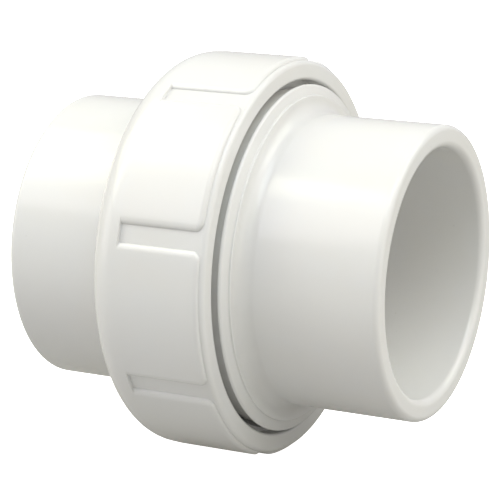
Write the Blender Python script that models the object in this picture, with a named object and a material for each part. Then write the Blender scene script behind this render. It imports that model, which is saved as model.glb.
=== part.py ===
"""A two-inch socket union for plastic pressure pipe, as its four real pieces.

The pipe axis is X, +Z is up, and the origin lies on the axis, midway between
the two socket mouths. From left to right: a flanged tailpiece, the union nut
that holds it by its flange, and a threaded body with an O-ring in its face.
The nut's right-hand thread is real: nut and body share one helix.

Lengths are in metres and angles in degrees. Angles round the axis start at -Y
and turn towards +Z.
"""

import math

import bmesh
import bpy

# Sockets: the same bore, wall and mouth at both ends
HALF_LENGTH = 0.0489
TAIL_RADIUS = 0.0356
MOUTH_BORE_RADIUS = 0.0302
SOCKET_FLOOR_RADIUS = 0.03005
SOCKET_DEPTH = 0.0350
WATERWAY_RADIUS = 0.0263
LIP_OUTER_ROUND = 0.0015
LIP_INNER_ROUND = 0.0017

# Union nut
NUT_BACK_X = -0.0198
NUT_FACE_X = 0.0113
NUT_RADIUS = 0.0491
SHOULDER_ROUND = 0.0071
RIM_RADIUS = 0.0482
RIM_ROUND = 0.0012
RIB_START_X = -0.0112
RIB_END_X = 0.0101
RIB_END_ROUND = 0.0012
SLOT_WALL_DRAFT = 0.00012
SLOT_COUNT = 8
SLOT_PHASE = 16.1
SLOT_FLOOR_ANGLE = 5.3
SLOT_OPEN_ANGLE = 8.3
PANEL_STEPS = 6
RETAINER_BORE_RADIUS = 0.0362
RETAINER_THICKNESS = 0.0055
MOUTH_RADIUS = 0.0435
MOUTH_DEPTH = 0.0040
MOUTH_EDGE_ROUND = 0.0009

# Thread: trapezoidal, right-handed, with running clearance on every side
THREAD_PITCH = 0.00508
THREAD_DEPTH = 0.0019
THREAD_CREST_WIDTH = 0.0015
THREAD_FLANK_ANGLE = 20.0
THREAD_CLEARANCE = 0.00035
THREAD_CREST_RADIUS = 0.0422
THREAD_OVERLAP = 0.0004
THREAD_FADE_TURNS = 0.2
THREAD_TIP_SHARE = 0.02
RIDGE_START_X = -0.0064
RIDGE_END_X = 0.0052
GROOVE_START_X = -0.0076
GROOVE_END_X = 0.0096

# Tailpiece flange, body face and collar
SEAT_GAP = 0.0003
FLANGE_THICKNESS = 0.0052
FLANGE_RADIUS = 0.0402
FLANGE_CHAMFER = 0.0006
SPIGOT_CHAMFER = 0.0007
COLLAR_RADIUS = 0.0426
COLLAR_BACK_X = 0.0117
COLLAR_RIM_ROUND = 0.0006
COLLAR_RIM_SLOPE = 15.0
COLLAR_STEP_X = 0.0135
NECK_RADIUS = 0.0413
NECK_START_X = 0.0078
COLLAR_FACE_X = 0.0140
COLLAR_FACE_RADIUS = 0.0400
COLLAR_FILLET = 0.0034

# O-ring, shown as squeezed by the joint, and its groove in the body's face
RING_RADIUS = 0.0333
RING_WIDTH = 0.0037
RING_HEIGHT = 0.0029
GROOVE_WIDTH = 0.0044
GROOVE_DEPTH = 0.0031

# Facets
TURN_STEPS = 60
RING_STEPS = 48
RING_SECTION_STEPS = 8
LIP_INNER_STEPS = 3
LIP_OUTER_STEPS = 3
FILLET_STEPS = 4
COLLAR_RIM_STEPS = 5
SHOULDER_STEPS = 5
RIB_END_STEPS = 2
RIM_STEPS = 2
MOUTH_EDGE_STEPS = 2
SMOOTH_ANGLE = 30.0

THREAD_ROOT_RADIUS = THREAD_CREST_RADIUS - THREAD_DEPTH
NUT_MINOR_RADIUS = THREAD_ROOT_RADIUS + THREAD_CLEARANCE
FLANGE_BACK_X = NUT_BACK_X + RETAINER_THICKNESS + SEAT_GAP
FLANGE_FACE_X = FLANGE_BACK_X + FLANGE_THICKNESS
BODY_FACE_X = FLANGE_FACE_X + SEAT_GAP


def clear_scene():
    """Starts from an empty scene."""
    for obj in list(bpy.data.objects):
        bpy.data.objects.remove(obj, do_unlink=True)


def make_material(name, colour, roughness):
    """A plain Principled plastic or rubber."""
    material = bpy.data.materials.new(name)
    material.use_nodes = True
    shader = material.node_tree.nodes["Principled BSDF"]
    shader.inputs["Base Color"].default_value = (*colour, 1.0)
    shader.inputs["Roughness"].default_value = roughness
    shader.inputs["Metallic"].default_value = 0.0
    return material


def arc(centre_x, centre_r, radius, start, end, steps):
    """Points of an arc in the axial section, 0 degrees along +X and 90 outward."""
    points = []
    for i in range(steps + 1):
        angle = math.radians(start + (end - start) * i / steps)
        points.append((centre_x + radius * math.cos(angle), centre_r + radius * math.sin(angle)))
    return points


def even_stations(count):
    """Equally spaced angles round the axis."""
    return [360.0 * i / count for i in range(count)]


def on_axis(x, radius, angle):
    """The point at a distance along the axis, a radius and an angle round it."""
    turn = math.radians(angle)
    return (x, -radius * math.cos(turn), radius * math.sin(turn))


def solid_from_loops(name, loops, closed):
    """Skins equal point loops into one solid, joined end to end or capped."""
    shape = bmesh.new()
    rings = [[shape.verts.new(point) for point in loop] for loop in loops]
    pairs = list(zip(rings, rings[1:] + rings[:1])) if closed else list(zip(rings, rings[1:]))
    size = len(rings[0])
    for first, second in pairs:
        for i in range(size):
            j = (i + 1) % size
            shape.faces.new((first[i], first[j], second[j], second[i]))
    if not closed:
        shape.faces.new(rings[0])
        shape.faces.new(rings[-1])
    bmesh.ops.recalc_face_normals(shape, faces=shape.faces)
    mesh = bpy.data.meshes.new(name)
    shape.to_mesh(mesh)
    shape.free()
    obj = bpy.data.objects.new(name, mesh)
    bpy.context.scene.collection.objects.link(obj)
    return obj


def turned(name, profile, stations):
    """A ring: one closed axial section carried round the axis."""
    loops = [[on_axis(x, r, angle) for x, r in profile] for angle in stations]
    return solid_from_loops(name, loops, closed=True)


def helix(name, start_x, end_x, inner_r, outer_r, inner_half, outer_half):
    """A right-handed trapezoidal ridge whose two ends taper into its base."""
    turns = (end_x - start_x) / THREAD_PITCH
    steps = round(turns * TURN_STEPS)
    loops = []
    for i in range(steps + 1):
        turn = turns * i / steps
        x = start_x + THREAD_PITCH * turn
        angle = -360.0 * x / THREAD_PITCH
        ends = min(turn, turns - turn) / THREAD_FADE_TURNS
        grown = min(1.0, THREAD_TIP_SHARE + (1.0 - THREAD_TIP_SHARE) * ends)
        top = inner_r + (outer_r - inner_r) * grown
        half = inner_half + (outer_half - inner_half) * grown
        section = ((x - inner_half, inner_r), (x - half, top), (x + half, top), (x + inner_half, inner_r))
        loops.append([on_axis(px, pr, angle) for px, pr in section])
    return solid_from_loops(name, loops, closed=False)


def combine(target, other, operation):
    """Joins or cuts with an exact Boolean that stays on the target."""
    other.hide_render = True
    other.display_type = "WIRE"
    modifier = target.modifiers.new(other.name, "BOOLEAN")
    modifier.operation = operation
    modifier.solver = "EXACT"
    modifier.object = other


def finish(obj, material, datum_x, axis):
    """Smooths the round faces and puts the origin on the axis, at the datum."""
    mesh = obj.data
    for vertex in mesh.vertices:
        vertex.co.x -= datum_x
    obj.location.x = datum_x
    mesh.materials.append(material)
    mesh.shade_smooth()
    mesh.set_sharp_from_angle(angle=math.radians(SMOOTH_ANGLE))
    obj.parent = axis


def socket_mouth():
    """A right-hand socket in section, from its floor out to the rounded lip."""
    floor_x = HALF_LENGTH - SOCKET_DEPTH
    inner = arc(HALF_LENGTH - LIP_INNER_ROUND, MOUTH_BORE_RADIUS + LIP_INNER_ROUND,
                LIP_INNER_ROUND, 270.0, 360.0, LIP_INNER_STEPS)
    outer = arc(HALF_LENGTH - LIP_OUTER_ROUND, TAIL_RADIUS - LIP_OUTER_ROUND,
                LIP_OUTER_ROUND, 0.0, 90.0, LIP_OUTER_STEPS)
    return [(floor_x, WATERWAY_RADIUS), (floor_x, SOCKET_FLOOR_RADIUS)] + inner + outer


def mirrored(profile):
    """The same section at the other end of the fitting."""
    return [(-x, r) for x, r in profile]


def tailpiece_profile():
    """Socket, tail and the flange that the nut's retaining lip pulls on."""
    flange = [
        (FLANGE_BACK_X, TAIL_RADIUS),
        (FLANGE_BACK_X, FLANGE_RADIUS - FLANGE_CHAMFER),
        (FLANGE_BACK_X + FLANGE_CHAMFER, FLANGE_RADIUS),
        (FLANGE_FACE_X - FLANGE_CHAMFER, FLANGE_RADIUS),
        (FLANGE_FACE_X, FLANGE_RADIUS - FLANGE_CHAMFER),
        (FLANGE_FACE_X, WATERWAY_RADIUS),
    ]
    return mirrored(socket_mouth()) + flange


def body_profile():
    """Socket, tail, thin stepped collar, neck, spigot and the face with its ring groove."""
    fillet = arc(COLLAR_FACE_X + COLLAR_FILLET, TAIL_RADIUS + COLLAR_FILLET,
                 COLLAR_FILLET, 270.0, 180.0, FILLET_STEPS)
    groove_inner = RING_RADIUS - GROOVE_WIDTH / 2
    groove_outer = RING_RADIUS + GROOVE_WIDTH / 2
    rim = arc(COLLAR_BACK_X + COLLAR_RIM_ROUND, COLLAR_RADIUS - COLLAR_RIM_ROUND,
              COLLAR_RIM_ROUND, COLLAR_RIM_SLOPE, 180.0, COLLAR_RIM_STEPS)
    step = [(COLLAR_FACE_X, COLLAR_FACE_RADIUS), (COLLAR_STEP_X, COLLAR_FACE_RADIUS)]
    neck = [(COLLAR_BACK_X, NECK_RADIUS), (NECK_START_X, NECK_RADIUS), (NECK_START_X, THREAD_ROOT_RADIUS)]
    face = [
        (BODY_FACE_X + SPIGOT_CHAMFER, THREAD_ROOT_RADIUS),
        (BODY_FACE_X, THREAD_ROOT_RADIUS - SPIGOT_CHAMFER),
        (BODY_FACE_X, groove_outer),
        (BODY_FACE_X + GROOVE_DEPTH, groove_outer),
        (BODY_FACE_X + GROOVE_DEPTH, groove_inner),
        (BODY_FACE_X, groove_inner),
        (BODY_FACE_X, WATERWAY_RADIUS),
    ]
    return socket_mouth() + fillet + step + rim + neck + face


def ring_profile():
    """The O-ring's squeezed section."""
    centre_x = BODY_FACE_X - SEAT_GAP / 2 + GROOVE_DEPTH / 2
    points = []
    for i in range(RING_SECTION_STEPS):
        angle = 2.0 * math.pi * (i + 0.5) / RING_SECTION_STEPS
        points.append((centre_x + RING_HEIGHT / 2 * math.cos(angle),
                       RING_RADIUS + RING_WIDTH / 2 * math.sin(angle)))
    return points


def rib_end(panel):
    """The rounded right-hand end of a grip panel, down to the rim."""
    points = []
    for i in range(RIB_END_STEPS + 1):
        turn = math.pi / 2 * i / RIB_END_STEPS
        rise = (NUT_RADIUS - RIM_RADIUS) * panel * math.cos(turn)
        points.append((RIB_END_X - RIB_END_ROUND * (1 - math.sin(turn)), RIM_RADIUS + rise))
    return points


def nut_profile(panel):
    """The nut in section: through a raised grip panel (1) or a slot (0)."""
    raised = RIM_RADIUS + (NUT_RADIUS - RIM_RADIUS) * panel
    shoulder = arc(NUT_BACK_X + SHOULDER_ROUND, NUT_RADIUS - SHOULDER_ROUND,
                   SHOULDER_ROUND, 180.0, 90.0, SHOULDER_STEPS)
    slot_wall = [(RIB_START_X, NUT_RADIUS), (RIB_START_X + SLOT_WALL_DRAFT, raised)]
    rim = arc(NUT_FACE_X - RIM_ROUND, RIM_RADIUS - RIM_ROUND, RIM_ROUND, 90.0, 0.0, RIM_STEPS)
    edge = arc(NUT_FACE_X - MOUTH_EDGE_ROUND, MOUTH_RADIUS + MOUTH_EDGE_ROUND,
               MOUTH_EDGE_ROUND, 360.0, 270.0, MOUTH_EDGE_STEPS)
    inside = [
        (NUT_FACE_X - MOUTH_DEPTH, MOUTH_RADIUS),
        (NUT_FACE_X - MOUTH_DEPTH, NUT_MINOR_RADIUS),
        (NUT_BACK_X + RETAINER_THICKNESS, NUT_MINOR_RADIUS),
        (NUT_BACK_X + RETAINER_THICKNESS, RETAINER_BORE_RADIUS),
        (NUT_BACK_X, RETAINER_BORE_RADIUS),
    ]
    return shoulder + slot_wall + rib_end(panel) + rim + edge + inside


def nut_stations():
    """Angles round the nut, each with the height of the grip panel there."""
    pitch = 360.0 / SLOT_COUNT
    panel_angle = pitch - SLOT_OPEN_ANGLE
    stations = []
    for slot in range(SLOT_COUNT):
        centre = SLOT_PHASE + pitch * slot
        for offset in (-SLOT_FLOOR_ANGLE / 2, 0.0, SLOT_FLOOR_ANGLE / 2):
            stations.append((centre + offset, 0.0))
        for step in range(PANEL_STEPS + 1):
            offset = SLOT_OPEN_ANGLE / 2 + panel_angle * step / PANEL_STEPS
            stations.append((centre + offset, 1.0))
    return stations


def make_tailpiece():
    """The left-hand piece, with a plain flange."""
    return turned("flanged_tailpiece", tailpiece_profile(), even_stations(TURN_STEPS))


def make_body():
    """The right-hand piece: turned body with one helical ridge joined on."""
    body = turned("threaded_body", body_profile(), even_stations(TURN_STEPS))
    spread = math.tan(math.radians(THREAD_FLANK_ANGLE))
    foot_r = THREAD_ROOT_RADIUS - THREAD_OVERLAP
    foot_half = THREAD_CREST_WIDTH / 2 + (THREAD_CREST_RADIUS - foot_r) * spread
    ridge = helix("male_thread", RIDGE_START_X, RIDGE_END_X, foot_r, THREAD_CREST_RADIUS,
                  foot_half, THREAD_CREST_WIDTH / 2)
    combine(body, ridge, "UNION")
    return body


def make_nut():
    """The nut: skinned through its slots and panels, then cut by the thread."""
    loops = []
    for angle, panel in nut_stations():
        loops.append([on_axis(x, r, angle) for x, r in nut_profile(panel)])
    nut = solid_from_loops("union_nut", loops, closed=True)
    spread = math.tan(math.radians(THREAD_FLANK_ANGLE))
    root_half = THREAD_CREST_WIDTH / 2 + THREAD_CLEARANCE
    root_r = THREAD_CREST_RADIUS + THREAD_CLEARANCE
    foot_r = NUT_MINOR_RADIUS - THREAD_OVERLAP
    foot_half = root_half + (root_r - foot_r) * spread
    groove = helix("female_thread", GROOVE_START_X, GROOVE_END_X, foot_r, root_r,
                   foot_half, root_half)
    combine(nut, groove, "DIFFERENCE")
    return nut


def make_ring():
    """The O-ring in its groove."""
    return turned("o_ring", ring_profile(), even_stations(RING_STEPS))


def build():
    """Makes the four pieces on a shared axis."""
    clear_scene()
    axis = bpy.data.objects.new("pipe_axis", None)
    bpy.context.scene.collection.objects.link(axis)
    nut_plastic = make_material("nut_pvc", (0.80, 0.80, 0.79), 0.24)
    body_plastic = make_material("body_pvc", (0.81, 0.81, 0.80), 0.22)
    tail_plastic = make_material("tailpiece_pvc", (0.80, 0.80, 0.79), 0.25)
    rubber = make_material("epdm_rubber", (0.020, 0.020, 0.021), 0.55)
    finish(make_tailpiece(), tail_plastic, FLANGE_FACE_X, axis)
    finish(make_nut(), nut_plastic, (NUT_BACK_X + NUT_FACE_X) / 2, axis)
    finish(make_body(), body_plastic, BODY_FACE_X, axis)
    finish(make_ring(), rubber, BODY_FACE_X, axis)


build()
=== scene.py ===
"""The looks of a two-inch socket union in white PVC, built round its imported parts.

Every CAD part is shown by one fine turned mesh of the same size: an outline in
the axial plane, carried round the pipe axis, whose radius also follows the grip
panels and the thread. The pipe axis is X and +Z is up. Lengths are in metres and
angles in degrees; angles round the axis start at -Y and turn towards +Z.
"""

import math

import bpy
import numpy as np
from mathutils import Matrix, Vector


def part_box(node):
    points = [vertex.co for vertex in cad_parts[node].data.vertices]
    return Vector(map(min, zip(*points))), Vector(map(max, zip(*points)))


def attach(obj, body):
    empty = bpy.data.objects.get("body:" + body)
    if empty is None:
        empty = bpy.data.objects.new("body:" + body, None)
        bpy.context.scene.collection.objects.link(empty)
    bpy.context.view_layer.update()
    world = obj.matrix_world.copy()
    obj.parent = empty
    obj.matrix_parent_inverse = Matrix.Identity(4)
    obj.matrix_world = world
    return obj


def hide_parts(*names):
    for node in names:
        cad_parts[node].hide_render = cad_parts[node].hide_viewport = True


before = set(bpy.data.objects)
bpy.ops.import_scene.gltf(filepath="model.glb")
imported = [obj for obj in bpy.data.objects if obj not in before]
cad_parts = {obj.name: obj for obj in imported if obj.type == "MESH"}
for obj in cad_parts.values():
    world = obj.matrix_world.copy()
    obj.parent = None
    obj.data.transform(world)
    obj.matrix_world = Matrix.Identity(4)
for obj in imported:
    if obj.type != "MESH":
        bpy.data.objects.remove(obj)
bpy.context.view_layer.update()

# Driving dimensions that the frame gives
NUT_LOW, NUT_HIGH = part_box("union_nut")
BODY_LOW, BODY_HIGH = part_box("threaded_body")
TAIL_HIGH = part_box("flanged_tailpiece")[1]
RING_LOW, RING_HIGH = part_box("o_ring")
HALF_LENGTH = BODY_HIGH.x
BODY_FACE_X = BODY_LOW.x
COLLAR_RADIUS = BODY_HIGH.z
FLANGE_FACE_X = TAIL_HIGH.x
FLANGE_RADIUS = TAIL_HIGH.z
NUT_BACK_X = NUT_LOW.x
NUT_FACE_X = NUT_HIGH.x
NUT_RADIUS = NUT_HIGH.z

# Sockets
TAIL_RADIUS = 0.0356
MOUTH_BORE_RADIUS = 0.0302
SOCKET_FLOOR_RADIUS = 0.03005
SOCKET_DEPTH = 0.0350
WATERWAY_RADIUS = 0.0263
LIP_OUTER_ROUND = 0.0015
LIP_INNER_ROUND = 0.0017
SOCKET_FLOOR_ROUND = 0.0004

# Union nut
SHOULDER_ROUND = 0.0071
BAND_STEP = 0.0001
RIM_RADIUS = 0.0482
RIM_ROUND = 0.0012
PANEL_START_X = -0.0112
PANEL_END_X = 0.0101
PANEL_EDGE = 0.0013
PANEL_SIDE_EDGE = 0.00175
PANEL_CORNER = 0.0019
SLOT_WALL_DRAFT = 0.00012
SLOT_WALL_STEPS = 4
SLOT_COUNT = 8
SLOT_PHASE = 16.1
SLOT_FLOOR_ANGLE = 5.3
RETAINER_BORE_RADIUS = 0.0362
RETAINER_THICKNESS = 0.0055
NUT_MOUTH_RADIUS = 0.0435
NUT_MOUTH_DEPTH = 0.0040
NUT_MOUTH_ROUND = 0.0009

# Thread
THREAD_PITCH = 0.00508
THREAD_DEPTH = 0.0019
THREAD_CREST_WIDTH = 0.0015
THREAD_FLANK_ANGLE = 20.0
THREAD_CLEARANCE = 0.00035
THREAD_CREST_RADIUS = 0.0422
THREAD_OVERLAP = 0.0004
THREAD_FADE_TURNS = 0.2
THREAD_BLEND = 0.00025
MOUTH_FLOOR_SPREAD = 0.05
RIDGE_START_X = -0.0064
RIDGE_END_X = 0.0052
GROOVE_START_X = -0.0076
GROOVE_END_X = 0.0096
THREAD_ROOT_RADIUS = THREAD_CREST_RADIUS - THREAD_DEPTH
NUT_MINOR_RADIUS = THREAD_ROOT_RADIUS + THREAD_CLEARANCE

# Tailpiece flange, body face and collar, with a neck 0.3 mm longer than the CAD body's
FLANGE_THICKNESS = 0.0052
FLANGE_EDGE = 0.0006
SPIGOT_EDGE = 0.0007
COLLAR_BACK_X = 0.0117
COLLAR_EDGE_X = 0.0128
COLLAR_STEP_X = 0.0135
NECK_RADIUS = 0.0413
NECK_START_X = 0.0075
COLLAR_FACE_X = 0.0140
COLLAR_FACE_RADIUS = 0.0400
COLLAR_FILLET = 0.0034
COLLAR_RIM_ROUND = 0.0006
COLLAR_STEP_ROUND = 0.00022
GROOVE_INNER_RADIUS = 0.0311
GROOVE_OUTER_RADIUS = 0.0355
GROOVE_DEPTH = 0.0031

# Small roundings that a mould leaves on every other edge
CRISP = 0.00012
SOFT = 0.0003

# Facets
ARC_STEP = 9.0
GUARD = 0.0006
GUARD_ROOM = 3 * GUARD
TURN_STEPS = 240
BODY_THREAD_STEP = 0.00012
NUT_THREAD_STEP = 0.0002
PANEL_EDGE_STEPS = 9
PANEL_TOP_STEP = 2.0
RING_SECTION_STEPS = 28
SHARP_ANGLE = 50.0

# Studio
FLOOR_GAP = 0.0002
FLOOR_WHITE = 0.90
FLOOR_GLOW = 1.10
TABLE_GREY = 0.35
TABLE_GLOW = 0.145
TABLE_TINT = (1.0, 0.95, 0.80)
GROUND_REACH = 4.0
CAMERA_AZIMUTH = 26.91
CAMERA_ELEVATION = 13.40
CAMERA_DISTANCE = 0.5477
CAMERA_ASIDE = -0.001032
CAMERA_RAISE = 0.00065
CAMERA_LENS = 159.4
CAMERA_SENSOR = 36.0
CAMERA_NEAR = 0.01
SOFTBOX_DISTANCE = 1.0
SURROUND_TINT = (0.95, 0.93, 1.0)
SURROUND_STRENGTH = 0.525

# Colours and finishes
PLAIN_WHITE = (1.0, 1.0, 1.0)
PVC_WHITE = (0.70, 0.70, 0.69)
BODY_WHITE = (0.71, 0.71, 0.70)
PVC_ROUGHNESS = 0.17
BODY_ROUGHNESS = 0.16
PVC_IOR = 1.53
PVC_DEPTH = 0.0012
PVC_DEPTH_TINT = (1.0, 0.9, 0.75)
PVC_DEPTH_SHARE = 0.08
WARM_DRIFT = (0.993, 0.985, 0.972)
COOL_CLOUD = (0.988, 0.993, 1.0)
SPECK_BROWN = (0.36, 0.33, 0.29)
# Painted shade: the grey that the inner creases are darkened towards
CREASE_SHADE_GREY = (0.58, 0.57, 0.54)
RUBBER_BLACK = (0.016, 0.016, 0.017)
RUBBER_BLOOM = (0.055, 0.054, 0.052)
PAPER_ROUGHNESS = 0.9
PAPER_SPECULAR = 0.1
PAPER_FIBRE_SHADE = 0.97
BUMP_DISTANCE = 0.0001

# Sizes of the materials' patterns, in cells per metre
DRIFT_CELLS = 32.0
PATCH_CELLS = 60.0
FIBRE_CELLS = 90.0
CLOUD_CELLS = 110.0
SCUFF_CELLS = 210.0
BLOOM_CELLS = 260.0
SPECK_CELLS = 330.0
GRAIN_CELLS = 2600.0
SKIN_CELLS = 3200.0
SCUFF_STRETCH = 14.0


# ---------------------------------------------------------------- outlines

def rounded(corners):
    """A closed outline with each corner turned into an arc.

    Corners are (x, radius, size of rounding). The result has rows of x, radius
    and edge: 1 on an outer corner, -1 in an inner one and 0 elsewhere.
    """
    points = np.array([corner[:2] for corner in corners])
    ahead = np.roll(points, -1, axis=0) - points
    lengths = np.linalg.norm(ahead, axis=1)
    ahead = ahead / lengths[:, None]
    behind = np.roll(ahead, 1, axis=0)
    turns = np.arctan2(behind[:, 0] * ahead[:, 1] - behind[:, 1] * ahead[:, 0],
                       (behind * ahead).sum(axis=1))
    side = np.sign(turns.sum())
    cuts = np.array([corner[2] for corner in corners]) * np.tan(np.abs(turns) / 2)
    room_ahead = lengths - cuts - np.roll(cuts, -1)
    room_behind = np.roll(room_ahead, 1)
    rows = []
    for i, (x, r, size) in enumerate(corners):
        if size == 0.0:
            rows.append((x, r, 0.0))
            continue
        edge = 1.0 if turns[i] * side > 0 else -1.0
        start = points[i] - behind[i] * cuts[i]
        left = np.array((-behind[i][1], behind[i][0])) * np.sign(turns[i])
        centre = start + left * size
        if room_behind[i] > GUARD_ROOM:
            rows.append((*(start - behind[i] * GUARD), 0.0))
        steps = max(2, math.ceil(math.degrees(abs(turns[i])) / ARC_STEP))
        for k in range(steps + 1):
            angle = turns[i] * k / steps
            spoke = start - centre
            turned = (spoke[0] * math.cos(angle) - spoke[1] * math.sin(angle),
                      spoke[0] * math.sin(angle) + spoke[1] * math.cos(angle))
            rows.append((centre[0] + turned[0], centre[1] + turned[1], edge))
        if room_ahead[i] > GUARD_ROOM:
            end = points[i] + ahead[i] * cuts[i]
            rows.append((*(end + ahead[i] * GUARD), 0.0))
    return np.array(rows)


def run(start_x, end_x, radius, step):
    """Plain points along a cylinder, about one step apart, without its ends."""
    count = max(1, round(abs(end_x - start_x) / step))
    return [(start_x + (end_x - start_x) * i / count, radius, 0.0) for i in range(1, count)]


def socket_corners(sign):
    """A socket from its waterway out to the tail's outside, for the +X or -X end."""
    floor_x = HALF_LENGTH - SOCKET_DEPTH
    corners = [
        (floor_x, WATERWAY_RADIUS, SOFT),
        (floor_x, SOCKET_FLOOR_RADIUS, SOCKET_FLOOR_ROUND),
        (HALF_LENGTH, MOUTH_BORE_RADIUS, LIP_INNER_ROUND),
        (HALF_LENGTH, TAIL_RADIUS, LIP_OUTER_ROUND),
    ]
    return [(sign * x, r, size) for x, r, size in corners]


def tailpiece_outline():
    """Socket, tail and the plain flange that the nut pulls on."""
    back_x = FLANGE_FACE_X - FLANGE_THICKNESS
    flange = [
        (back_x, TAIL_RADIUS, SOFT),
        (back_x, FLANGE_RADIUS, FLANGE_EDGE),
        (FLANGE_FACE_X, FLANGE_RADIUS, FLANGE_EDGE),
        (FLANGE_FACE_X, WATERWAY_RADIUS, SOFT),
    ]
    return rounded(socket_corners(-1) + flange)


def body_outline():
    """Socket, tail, thin stepped collar, neck, spigot and the face with its ring groove."""
    collar = [
        (COLLAR_FACE_X, TAIL_RADIUS, COLLAR_FILLET),
        (COLLAR_FACE_X, COLLAR_FACE_RADIUS, COLLAR_STEP_ROUND),
        (COLLAR_STEP_X, COLLAR_FACE_RADIUS, COLLAR_STEP_ROUND),
        (COLLAR_EDGE_X, COLLAR_RADIUS, COLLAR_RIM_ROUND),
        (COLLAR_BACK_X, COLLAR_RADIUS, COLLAR_RIM_ROUND),
        (COLLAR_BACK_X, NECK_RADIUS, SOFT),
        (NECK_START_X, NECK_RADIUS, CRISP),
        (NECK_START_X, THREAD_ROOT_RADIUS, CRISP),
    ]
    spigot = run(NECK_START_X - GUARD, BODY_FACE_X + 2 * SPIGOT_EDGE, THREAD_ROOT_RADIUS,
                 BODY_THREAD_STEP)
    face = [
        (BODY_FACE_X, THREAD_ROOT_RADIUS, SPIGOT_EDGE),
        (BODY_FACE_X, GROOVE_OUTER_RADIUS, CRISP),
        (BODY_FACE_X + GROOVE_DEPTH, GROOVE_OUTER_RADIUS, SOFT),
        (BODY_FACE_X + GROOVE_DEPTH, GROOVE_INNER_RADIUS, SOFT),
        (BODY_FACE_X, GROOVE_INNER_RADIUS, CRISP),
        (BODY_FACE_X, WATERWAY_RADIUS, SOFT),
    ]
    return rounded(socket_corners(1) + collar + spigot + face)


def ring_outline():
    """The O-ring's section, an ellipse squeezed between the two faces."""
    centre_x = (RING_LOW.x + RING_HIGH.x) / 2
    centre_r = (GROOVE_INNER_RADIUS + GROOVE_OUTER_RADIUS) / 2
    half_width = RING_HIGH.z - centre_r
    half_height = (RING_HIGH.x - RING_LOW.x) / 2
    angles = np.arange(RING_SECTION_STEPS) * 2 * math.pi / RING_SECTION_STEPS
    return np.column_stack((centre_x + half_height * np.cos(angles),
                            centre_r + half_width * np.sin(angles),
                            np.zeros(RING_SECTION_STEPS)))


def edge_run(foot, away, steps):
    """Places across a quarter-round edge, from its foot up, an equal turn apart."""
    turns = np.linspace(0, math.pi / 2, steps + 1)
    return [foot + away * (1 - math.cos(turn)) for turn in turns]


def nut_outline():
    """The nut, drawn through the top of a grip panel."""
    land = NUT_RADIUS - BAND_STEP
    wall = np.linspace(PANEL_START_X, PANEL_START_X + SLOT_WALL_DRAFT, SLOT_WALL_STEPS + 1)
    end = edge_run(PANEL_END_X, -PANEL_EDGE, PANEL_EDGE_STEPS)[::-1]
    corner_x = PANEL_END_X - PANEL_CORNER
    mouth_floor_x = NUT_FACE_X - NUT_MOUTH_DEPTH
    retainer_x = NUT_BACK_X + RETAINER_THICKNESS
    outside = [(NUT_BACK_X, RETAINER_BORE_RADIUS, SOFT), (NUT_BACK_X, land, SHOULDER_ROUND)]
    outside += [(PANEL_START_X - GUARD, land, 0.0)]
    outside += [(PANEL_START_X - SLOT_WALL_DRAFT / SLOT_WALL_STEPS, land, 0.0)]
    outside += [(x, NUT_RADIUS, 0.0) for x in wall]
    outside += run(wall[-1], corner_x, NUT_RADIUS, PANEL_CORNER)
    outside += [(corner_x, NUT_RADIUS, 0.0)]
    outside += run(corner_x, end[0], NUT_RADIUS, PANEL_EDGE / PANEL_EDGE_STEPS)
    outside += [(x, NUT_RADIUS, 0.0) for x in end[:-1]]
    outside += [(PANEL_END_X, RIM_RADIUS, 0.0), (NUT_FACE_X, RIM_RADIUS, RIM_ROUND)]
    inside = [
        (NUT_FACE_X, NUT_MOUTH_RADIUS, NUT_MOUTH_ROUND),
        (mouth_floor_x, NUT_MOUTH_RADIUS, SOFT),
        (mouth_floor_x, NUT_MINOR_RADIUS, CRISP),
    ]
    inside += run(mouth_floor_x - GUARD, retainer_x + GUARD, NUT_MINOR_RADIUS, NUT_THREAD_STEP)
    inside += [(retainer_x, NUT_MINOR_RADIUS, SOFT), (retainer_x, RETAINER_BORE_RADIUS, SOFT)]
    return rounded(outside + inside)


# ------------------------------------------------------- surfaces that vary

def soft_max(a, b, blend):
    """The larger of two values, with the crease between them rounded."""
    overlap = np.clip(blend - np.abs(a - b), 0, None) / blend
    return np.maximum(a, b) + overlap * overlap * blend / 4


def soft_min(a, b, blend):
    """The smaller of two values, with the crease between them rounded."""
    return -soft_max(-a, -b, blend)


def thread_radius(x, angle, start_x, end_x, foot_r, top_r, top_half):
    """How far out a right-handed trapezoidal helix reaches, at a place on its cylinder."""
    spread = math.tan(math.radians(THREAD_FLANK_ANGLE))
    turn = x / THREAD_PITCH + angle / 360.0
    off = (turn - np.round(turn)) * THREAD_PITCH
    centre_x = x - off
    ends = np.minimum(centre_x - start_x, end_x - centre_x) / THREAD_PITCH / THREAD_FADE_TURNS
    grown = (top_r - foot_r) * np.clip(ends, 0, 1)
    foot_half = top_half + (top_r - foot_r) * spread
    flank = (foot_half - np.abs(off)) / spread
    return foot_r + soft_min(grown, flank, THREAD_BLEND)


def body_surface(x, r, angle):
    """Raises the thread from the spigot."""
    ridge = thread_radius(x, angle, RIDGE_START_X, RIDGE_END_X,
                          THREAD_ROOT_RADIUS - THREAD_OVERLAP, THREAD_CREST_RADIUS,
                          THREAD_CREST_WIDTH / 2)
    spigot = (np.abs(r - THREAD_ROOT_RADIUS) < CRISP) & (x < NECK_START_X)
    return np.where(spigot, soft_max(r, ridge, THREAD_BLEND), r)


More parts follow.
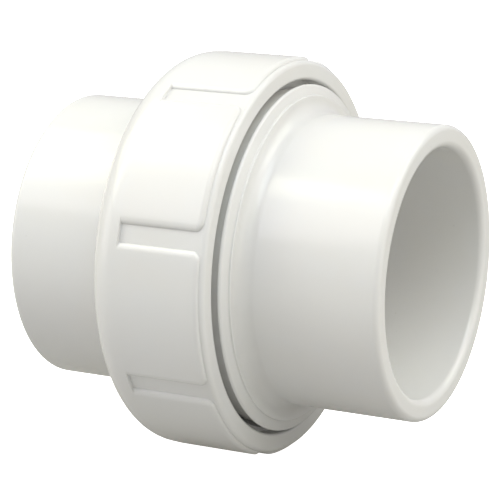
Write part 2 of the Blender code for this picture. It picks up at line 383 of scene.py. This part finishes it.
def panel_height(x, angle):
    """The height of the nut's outside there: 0 on a slot's floor, 1 on a panel."""
    pitch = 360.0 / SLOT_COUNT
    offset = np.abs((angle - SLOT_PHASE + pitch / 2) % pitch - pitch / 2)
    aside = np.radians(offset - SLOT_FLOOR_ANGLE / 2) * RIM_RADIUS * PANEL_EDGE / PANEL_SIDE_EDGE
    along = PANEL_END_X - x
    corner = PANEL_CORNER - np.hypot(PANEL_CORNER - aside, PANEL_CORNER - along)
    in_corner = (aside < PANEL_CORNER) & (along < PANEL_CORNER)
    inward = np.where(in_corner, corner, np.minimum(aside, along))
    panel = np.sqrt(1 - (1 - np.clip(inward / PANEL_EDGE, 0, 1)) ** 2)
    band = 1 - np.clip((x - PANEL_START_X) / SLOT_WALL_DRAFT, 0, 1)
    return np.maximum(panel, band)


def nut_surface(x, r, angle):
    """Sinks the slots into the outside and cuts the thread into the bore and the mouth's floor.

    Where the groove opens through the floor, the floor's rows move out past it
    and stay a little apart.
    """
    outside = (x >= PANEL_START_X) & (r > RIM_RADIUS)
    slotted = RIM_RADIUS + (r - RIM_RADIUS) * panel_height(x, angle)
    groove = thread_radius(x, angle, GROOVE_START_X, GROOVE_END_X,
                           NUT_MINOR_RADIUS - THREAD_OVERLAP,
                           THREAD_CREST_RADIUS + THREAD_CLEARANCE,
                           THREAD_CREST_WIDTH / 2 + THREAD_CLEARANCE)
    bore = (np.abs(r - NUT_MINOR_RADIUS) < SOFT) & (x > NUT_BACK_X + RETAINER_THICKNESS + SOFT)
    at_floor = np.abs(x - (NUT_FACE_X - NUT_MOUTH_DEPTH)) < CRISP / 2
    mouth_floor = at_floor & (r < NUT_MOUTH_RADIUS - SOFT)
    opened = groove + (r - NUT_MINOR_RADIUS) * MOUTH_FLOOR_SPREAD
    bored = np.where(bore | mouth_floor, soft_max(r, opened, THREAD_BLEND), r)
    return np.where(outside, slotted, bored)


def plain_surface(x, r, angle):
    """A turned surface, the same all round."""
    return r


# ----------------------------------------------------------------- meshes

def even_angles(count):
    """Equally spaced angles round the axis."""
    return np.arange(count) * 360.0 / count


def nut_angles():
    """Angles round the nut, close together where the panels' edges curve."""
    pitch = 360.0 / SLOT_COUNT
    foot = SLOT_FLOOR_ANGLE / 2
    edge_angle = math.degrees(PANEL_SIDE_EDGE / RIM_RADIUS)
    corner_angle = edge_angle * PANEL_CORNER / PANEL_EDGE
    wall = edge_run(foot, edge_angle, PANEL_EDGE_STEPS) + [foot + corner_angle]
    top_steps = round((pitch / 2 - wall[-1]) / PANEL_TOP_STEP)
    top = list(np.linspace(wall[-1], pitch / 2, top_steps + 1))[1:]
    half = [0.0, foot / 2] + wall + top
    whole = [-angle for angle in half[-2:0:-1]] + half
    return np.array([SLOT_PHASE + pitch * slot + angle for slot in range(SLOT_COUNT) for angle in whole])


def turned_piece(name, outline, angles, surface):
    """One closed mesh: the outline carried round the axis, its radius set by surface."""
    along, round_axis = len(outline), len(angles)
    x = np.tile(outline[:, 0], round_axis)
    turn = np.repeat(angles, along)
    r = surface(x, np.tile(outline[:, 1], round_axis), turn)
    points = np.column_stack((x, -r * np.cos(np.radians(turn)), r * np.sin(np.radians(turn))))
    here = np.arange(along * round_axis).reshape(round_axis, along)
    beyond = np.roll(here, -1, axis=0)
    quads = np.stack((here, np.roll(here, -1, axis=1), np.roll(beyond, -1, axis=1), beyond), axis=-1)
    heading = np.roll(outline, -1, axis=0) - outline
    area = (outline[:, 0] * heading[:, 1] - outline[:, 1] * heading[:, 0]).sum()
    quads = quads if area > 0 else quads[..., ::-1]
    mesh = bpy.data.meshes.new(name)
    mesh.from_pydata(points.tolist(), [], quads.reshape(-1, 4).tolist())
    mesh.shade_smooth()
    mesh.set_sharp_from_angle(angle=math.radians(SHARP_ANGLE))
    edge = mesh.attributes.new("edge", "FLOAT", "POINT")
    edge.data.foreach_set("value", np.tile(outline[:, 2], round_axis).astype(np.float32))
    piece = bpy.data.objects.new(name, mesh)
    bpy.context.scene.collection.objects.link(piece)
    weighted = piece.modifiers.new("weighted_normals", "WEIGHTED_NORMAL")
    weighted.keep_sharp = True
    return piece


# -------------------------------------------------------------- materials

class Nodes:
    """Adds and links nodes of one material, each call returning its first output."""

    def __init__(self, name):
        self.material = bpy.data.materials.new(name)
        self.material.use_nodes = True
        self.tree = self.material.node_tree
        self.shader = self.tree.nodes["Principled BSDF"]

    def add(self, kind, settings=None, **inputs):
        """A node with its settings and its inputs, which are values or sockets."""
        node = self.tree.nodes.new(kind)
        for key, value in (settings or {}).items():
            setattr(node, key, value)
        for key, value in inputs.items():
            self.set(node, key.replace("_", " "), value)
        return node

    def set(self, node, key, value):
        """Sets or links one input, found by name or by number."""
        socket = node.inputs[int(key[1:])] if key[0] == "i" and key[1:].isdigit() else node.inputs[key]
        if isinstance(value, bpy.types.NodeSocket):
            self.tree.links.new(value, socket)
        else:
            socket.default_value = value

    def math(self, operation, a, b=0.0, clamp=False):
        """One arithmetic step."""
        node = self.add("ShaderNodeMath", {"operation": operation, "use_clamp": clamp}, i0=a, i1=b)
        return node.outputs[0]

    def noise(self, place, scale, detail=2.0, roughness=0.5):
        """Noise from 0 to 1; the scale is in cells per metre."""
        node = self.add("ShaderNodeTexNoise", None, Vector=place, Scale=scale, Detail=detail,
                        Roughness=roughness)
        return node.outputs["Fac"]

    def ramp(self, value, low, high, bottom=0.0, top=1.0):
        """Maps low..high smoothly to bottom..top."""
        node = self.add("ShaderNodeMapRange", {"interpolation_type": "SMOOTHSTEP"}, Value=value)
        for key, number in (("From Min", low), ("From Max", high), ("To Min", bottom), ("To Max", top)):
            self.set(node, key, number)
        return node.outputs["Result"]

    def mix(self, factor, a, b):
        """A blend of two colours."""
        node = self.add("ShaderNodeMix", {"data_type": "RGBA"}, Factor=factor)
        self.set(node, "i6", a)
        self.set(node, "i7", b)
        return node.outputs[2]


def shade(value):
    """A colour with full opacity."""
    return (*value, 1.0)


def make_plastic(name, colour, roughness, seed):
    """White moulded PVC: clean and glossy, with faint drifts of tone, scuffs, rare specks and painted
    shade darkening the inner creases.

    The seed shifts the patterns, so that no two mouldings have the same ones.
    """
    nodes = Nodes(name)
    place = nodes.add("ShaderNodeTexCoord").outputs["Object"]
    shifted = nodes.add("ShaderNodeVectorMath", {"operation": "ADD"}, i0=place,
                        i1=(seed, seed * 0.7, -seed)).outputs[0]
    edge = nodes.add("ShaderNodeAttribute", {"attribute_name": "edge"}).outputs["Fac"]

    drift = nodes.noise(shifted, DRIFT_CELLS, 2.0)
    clouds = nodes.noise(shifted, CLOUD_CELLS, 3.0)
    grain = nodes.noise(shifted, GRAIN_CELLS, 2.0)
    stretch = (SCUFF_STRETCH, 1.0, 1.0)
    stretched = nodes.add("ShaderNodeMapping", None, Vector=shifted, Scale=stretch).outputs[0]
    scuffs = nodes.ramp(nodes.noise(stretched, SCUFF_CELLS, 5.0, 0.62), 0.62, 0.76)

    warm = tuple(channel * tint for channel, tint in zip(colour, WARM_DRIFT))
    cool = tuple(channel * tint for channel, tint in zip(colour, COOL_CLOUD))
    tone = nodes.mix(nodes.ramp(drift, 0.35, 0.65), shade(colour), shade(warm))
    tone = nodes.mix(nodes.ramp(clouds, 0.45, 0.75, 0.0, 0.4), tone, shade(cool))

    cells = nodes.add("ShaderNodeTexVoronoi", {"feature": "F1"}, Vector=shifted, Scale=SPECK_CELLS)
    rare = nodes.ramp(nodes.noise(shifted, PATCH_CELLS, 1.0), 0.64, 0.70)
    outer = nodes.math("MAXIMUM", edge, 0.0)
    likely = nodes.math("MAXIMUM", nodes.math("MULTIPLY", rare, 0.35),
                        nodes.math("MULTIPLY", outer, nodes.ramp(clouds, 0.60, 0.68)))
    dot = nodes.ramp(cells.outputs["Distance"], 0.09, 0.05)
    speck = nodes.math("MULTIPLY", dot, likely)
    tone = nodes.mix(nodes.math("MULTIPLY", speck, 0.4), tone, shade(SPECK_BROWN))

    # Painted shade: inner creases are darkened towards grey, in cloudy patches
    inner = nodes.math("MAXIMUM", nodes.math("MULTIPLY", edge, -1.0), 0.0)
    crease_shade = nodes.math("MULTIPLY", inner, nodes.ramp(clouds, 0.40, 0.62, 0.06, 0.16))
    tone = nodes.mix(crease_shade, tone, shade(CREASE_SHADE_GREY))
    nodes.set(nodes.shader, "Base Color", tone)

    gloss = nodes.ramp(clouds, 0.3, 0.7, roughness - 0.01, roughness + 0.015)
    gloss = nodes.math("ADD", gloss, nodes.math("MULTIPLY", scuffs, 0.03), clamp=True)
    nodes.set(nodes.shader, "Roughness", gloss)

    fine = nodes.add("ShaderNodeBump", None, Height=grain, Strength=0.02, Distance=BUMP_DISTANCE)
    worn = nodes.add("ShaderNodeBump", None, Height=scuffs, Strength=0.012, Distance=BUMP_DISTANCE,
                     Normal=fine.outputs[0])
    nodes.set(nodes.shader, "Normal", worn.outputs[0])
    uniform = {"IOR": PVC_IOR, "Subsurface Weight": PVC_DEPTH_SHARE,
               "Subsurface Scale": PVC_DEPTH, "Subsurface Radius": PVC_DEPTH_TINT}
    for key, value in uniform.items():
        nodes.shader.inputs[key].default_value = value
    return nodes.material


def make_rubber():
    """Black EPDM with a fine matt skin and a little talc bloom."""
    nodes = Nodes("epdm_rubber")
    place = nodes.add("ShaderNodeTexCoord").outputs["Object"]
    bloom = nodes.noise(place, BLOOM_CELLS, 4.0, 0.6)
    grain = nodes.noise(place, SKIN_CELLS, 2.0)
    tone = nodes.mix(nodes.ramp(bloom, 0.5, 0.8, 0.0, 0.5), shade(RUBBER_BLACK), shade(RUBBER_BLOOM))
    nodes.set(nodes.shader, "Base Color", tone)
    nodes.set(nodes.shader, "Roughness", nodes.ramp(bloom, 0.3, 0.7, 0.46, 0.62))
    skin = nodes.add("ShaderNodeBump", None, Height=grain, Strength=0.15, Distance=BUMP_DISTANCE)
    nodes.set(nodes.shader, "Normal", skin.outputs[0])
    return nodes.material


def make_paper(name, grey, glow_colour, glow):
    """Matt paper with a trace of fibre, lit a little from behind."""
    nodes = Nodes(name)
    place = nodes.add("ShaderNodeTexCoord").outputs["Object"]
    fibres = nodes.noise(place, FIBRE_CELLS, 4.0)
    tone = nodes.mix(fibres, shade([grey] * 3), shade([grey * PAPER_FIBRE_SHADE] * 3))
    nodes.set(nodes.shader, "Base Color", tone)
    uniform = {"Roughness": PAPER_ROUGHNESS, "Specular IOR Level": PAPER_SPECULAR,
               "Emission Strength": glow, "Emission Color": shade(glow_colour)}
    for key, value in uniform.items():
        nodes.shader.inputs[key].default_value = value
    return nodes.material


# ------------------------------------------------------------------ stage

def make_ground(name, z, material):
    """A broad level sheet that belongs to the studio."""
    corners = [(-GROUND_REACH, -GROUND_REACH, z), (GROUND_REACH, -GROUND_REACH, z),
               (GROUND_REACH, GROUND_REACH, z), (-GROUND_REACH, GROUND_REACH, z)]
    mesh = bpy.data.meshes.new(name)
    mesh.from_pydata(corners, [], [(0, 1, 2, 3)])
    mesh.materials.append(material)
    ground = bpy.data.objects.new(name, mesh)
    bpy.context.scene.collection.objects.link(ground)
    return ground


def make_floor():
    """A white floor that only the camera sees, and the light table that stands in for it elsewhere."""
    z = -NUT_RADIUS - FLOOR_GAP
    floor = make_ground("floor", z, make_paper("floor_paper", FLOOR_WHITE, PLAIN_WHITE, FLOOR_GLOW))
    floor.visible_diffuse = False
    floor.visible_glossy = False
    floor.visible_shadow = False
    glass = make_paper("table_glass", TABLE_GREY, TABLE_TINT, TABLE_GLOW)
    table = make_ground("light_table", z - FLOOR_GAP, glass)
    table.visible_camera = False


def towards(azimuth, elevation):
    """The direction from the object to a viewer or a light."""
    a, e = math.radians(azimuth), math.radians(elevation)
    return Vector((math.sin(a) * math.cos(e), -math.cos(a) * math.cos(e), math.sin(e)))


def make_camera():
    """A long lens, level, looking down at the object a little."""
    back = towards(CAMERA_AZIMUTH, CAMERA_ELEVATION)
    right = Vector((math.cos(math.radians(CAMERA_AZIMUTH)), math.sin(math.radians(CAMERA_AZIMUTH)), 0.0))
    up = back.cross(right)
    place = back * CAMERA_DISTANCE + right * CAMERA_ASIDE + up * CAMERA_RAISE
    data = bpy.data.cameras.new("camera")
    data.lens = CAMERA_LENS
    data.sensor_width = CAMERA_SENSOR
    data.clip_start = CAMERA_NEAR
    camera = bpy.data.objects.new("camera", data)
    camera.matrix_world = Matrix.Translation(place) @ Matrix((right, up, back)).transposed().to_4x4()
    bpy.context.scene.collection.objects.link(camera)
    bpy.context.scene.camera = camera


def make_softbox(name, azimuth, elevation, size, power, colour):
    """A square area light that faces the object."""
    data = bpy.data.lights.new(name, "AREA")
    data.shape = "SQUARE"
    data.size = size
    data.energy = power
    data.color = colour
    light = bpy.data.objects.new(name, data)
    back = towards(azimuth, elevation)
    light.location = back * SOFTBOX_DISTANCE
    light.rotation_euler = back.to_track_quat("Z", "Y").to_euler()
    bpy.context.scene.collection.objects.link(light)


def make_lights():
    """Softboxes round the front and overhead, the strongest at the far left, in an even surround."""
    make_softbox("overhead", 30.0, 65.0, 0.6, 2.9, (0.82, 0.91, 1.0))
    make_softbox("left", -45.0, 45.0, 0.7, 2.8, (1.0, 0.96, 0.97))
    make_softbox("far_left", -75.0, 45.0, 0.7, 3.75, (0.98, 1.0, 0.68))
    make_softbox("low_left", -60.0, 12.0, 0.5, 0.95, (0.97, 0.93, 1.0))
    make_softbox("front_right", 45.0, 45.0, 0.7, 1.5, (0.93, 1.0, 0.68))
    make_softbox("right", 90.0, 45.0, 0.7, 1.85, (1.0, 0.87, 0.95))
    make_softbox("low_right", 90.0, 12.0, 0.5, 1.05, (1.0, 0.98, 0.82))
    make_softbox("back_right", 120.0, 45.0, 0.7, 2.8, (0.96, 1.0, 0.82))
    world = bpy.data.worlds.new("studio")
    world.use_nodes = True
    background = world.node_tree.nodes["Background"]
    background.inputs["Color"].default_value = shade(SURROUND_TINT)
    background.inputs["Strength"].default_value = SURROUND_STRENGTH
    bpy.context.scene.world = world
    bpy.context.scene.view_settings.view_transform = "Standard"
    bpy.context.scene.view_settings.look = "None"


# --------------------------------------------------------------- assembly

def place_piece(piece, body, node, material):
    """Puts a finished mesh in a CAD node's stead."""
    piece.data.materials.append(material)
    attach(piece, body)
    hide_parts(node)


def build():
    """Makes the four pieces, the stage and the lights."""
    round_steps = even_angles(TURN_STEPS)
    tailpiece = turned_piece("tailpiece_moulding", tailpiece_outline(), round_steps, plain_surface)
    nut = turned_piece("union_nut_moulding", nut_outline(), nut_angles(), nut_surface)
    body = turned_piece("threaded_body_moulding", body_outline(), round_steps, body_surface)
    ring = turned_piece("o_ring_seal", ring_outline(), round_steps, plain_surface)
    place_piece(tailpiece, "tailpiece", "flanged_tailpiece",
                make_plastic("tailpiece_pvc", PVC_WHITE, PVC_ROUGHNESS, 0.31))
    place_piece(nut, "nut", "union_nut",
                make_plastic("nut_pvc", PVC_WHITE, PVC_ROUGHNESS, 0.57))
    place_piece(body, "body", "threaded_body",
                make_plastic("body_pvc", BODY_WHITE, BODY_ROUGHNESS, 0.83))
    place_piece(ring, "body", "o_ring", make_rubber())
    make_floor()
    make_camera()
    make_lights()


build()
